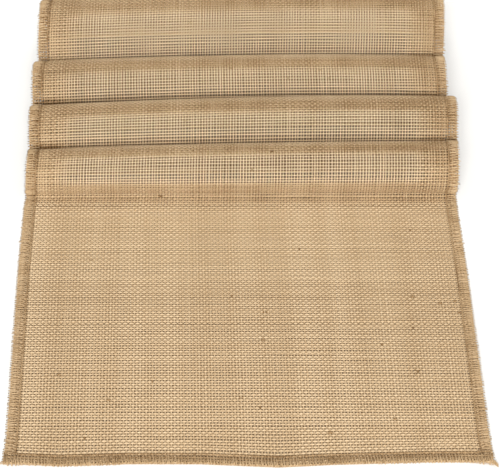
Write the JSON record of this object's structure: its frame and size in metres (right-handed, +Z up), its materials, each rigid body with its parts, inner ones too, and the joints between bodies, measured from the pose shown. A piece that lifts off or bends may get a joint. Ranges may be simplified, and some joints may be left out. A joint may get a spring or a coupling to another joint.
{
  "type": "table runner",
  "caption": "Burlap table runner with overlocked edges, laid with its front end flat and its middle standing in hollow waves that spread out flat.",
  "frame": {"origin": "on the table, under the centre of the whole runner as it lies", "axes": "+X across the runner to the right as seen from its front end, +Y along it to the rear, +Z up"},
  "size_m": [0.364, 1.5176, 0.0624],
  "materials": {
    "burlap": "open plain weave of natural jute, matt",
    "overlock_thread": "spun thread, matt, a little darker than the cloth"
  },
  "bodies": {
    "front_end": {"cloth_front_end": "burlap", "overlock_left_front_end": "overlock_thread", "overlock_right_front_end": "overlock_thread", "overlock_front": "overlock_thread"},
    "front_margin": {"cloth_front_margin": "burlap", "overlock_left_front_margin": "overlock_thread", "overlock_right_front_margin": "overlock_thread"},
    "wave_1_front": {"cloth_wave_1_front": "burlap", "overlock_left_wave_1_front": "overlock_thread", "overlock_right_wave_1_front": "overlock_thread"},
    "wave_1_back": {"cloth_wave_1_back": "burlap", "overlock_left_wave_1_back": "overlock_thread", "overlock_right_wave_1_back": "overlock_thread"},
    "wave_2_front": {"cloth_wave_2_front": "burlap", "overlock_left_wave_2_front": "overlock_thread", "overlock_right_wave_2_front": "overlock_thread"},
    "wave_2_back": {"cloth_wave_2_back": "burlap", "overlock_left_wave_2_back": "overlock_thread", "overlock_right_wave_2_back": "overlock_thread"},
    "wave_3_front": {"cloth_wave_3_front": "burlap", "overlock_left_wave_3_front": "overlock_thread", "overlock_right_wave_3_front": "overlock_thread"},
    "wave_3_back": {"cloth_wave_3_back": "burlap", "overlock_left_wave_3_back": "overlock_thread", "overlock_right_wave_3_back": "overlock_thread"},
    "wave_4_front": {"cloth_wave_4_front": "burlap", "overlock_left_wave_4_front": "overlock_thread", "overlock_right_wave_4_front": "overlock_thread"},
    "wave_4_back": {"cloth_wave_4_back": "burlap", "overlock_left_wave_4_back": "overlock_thread", "overlock_right_wave_4_back": "overlock_thread"},
    "rear_run": {"cloth_rear_run": "burlap", "overlock_left_rear_run": "overlock_thread", "overlock_right_rear_run": "overlock_thread"},
    "rear_end": {"cloth_rear_end": "burlap", "overlock_left_rear_end": "overlock_thread", "overlock_right_rear_end": "overlock_thread", "overlock_rear": "overlock_thread"}
  },
  "joints": [
    {"name": "wave_spread", "type": "hinge", "parent": "rear_run", "child": "wave_4_back", "pos_m": [-0.004, -0.25491, 0.0006], "axis": [1, 0, 0], "range_deg": [0, 28]},
    {"name": "wave_4_crest", "type": "hinge", "parent": "wave_4_back", "child": "wave_4_front", "pos_m": [-0.004, -0.2918, 0.0608], "axis": [1, 0, 0], "range_deg": [-56, 0]},
    {"name": "valley_3_4", "type": "hinge", "parent": "wave_4_front", "child": "wave_3_back", "pos_m": [-0.004, -0.32869, 0.0006], "axis": [1, 0, 0], "range_deg": [0, 56]},
    {"name": "wave_3_crest", "type": "hinge", "parent": "wave_3_back", "child": "wave_3_front", "pos_m": [-0.004, -0.35675, 0.0464], "axis": [1, 0, 0], "range_deg": [-56, 0]},
    {"name": "valley_2_3", "type": "hinge", "parent": "wave_3_front", "child": "wave_2_back", "pos_m": [-0.004, -0.38482, 0.0006], "axis": [1, 0, 0], "range_deg": [0, 56]},
    {"name": "wave_2_crest", "type": "hinge", "parent": "wave_2_back", "child": "wave_2_front", "pos_m": [-0.004, -0.41367, 0.04677], "axis": [1, 0, 0], "range_deg": [-56, 0]},
    {"name": "valley_1_2", "type": "hinge", "parent": "wave_2_front", "child": "wave_1_back", "pos_m": [-0.004, -0.44252, 0.0006], "axis": [1, 0, 0], "range_deg": [0, 56]},
    {"name": "wave_1_crest", "type": "hinge", "parent": "wave_1_back", "child": "wave_1_front", "pos_m": [-0.004, -0.46068, 0.03953], "axis": [1, 0, 0], "range_deg": [-56, 0]},
    {"name": "wave_1_foot", "type": "hinge", "parent": "wave_1_front", "child": "front_margin", "pos_m": [-0.004, -0.47883, 0.0006], "axis": [1, 0, 0], "range_deg": [0, 28]},
    {"name": "front_end_lift", "type": "hinge", "parent": "front_margin", "child": "front_end", "pos_m": [-0.004, -0.49083, 0.0006], "axis": [-1, 0, 0], "range_deg": [-90, 90]},
    {"name": "rear_end_lift", "type": "hinge", "parent": "rear_run", "child": "rear_end", "pos_m": [-0.004, 0.30883, 0.0006], "axis": [1, 0, 0], "range_deg": [-90, 90]}
  ],
  "couplings": [
    {"joint": "wave_4_crest", "follows": "wave_spread", "ratio": -2},
    {"joint": "valley_3_4", "follows": "wave_spread", "ratio": 2},
    {"joint": "wave_3_crest", "follows": "wave_spread", "ratio": -2},
    {"joint": "valley_2_3", "follows": "wave_spread", "ratio": 2},
    {"joint": "wave_2_crest", "follows": "wave_spread", "ratio": -2},
    {"joint": "valley_1_2", "follows": "wave_spread", "ratio": 2},
    {"joint": "wave_1_crest", "follows": "wave_spread", "ratio": -2},
    {"joint": "wave_1_foot", "follows": "wave_spread", "ratio": 1}
  ]
}
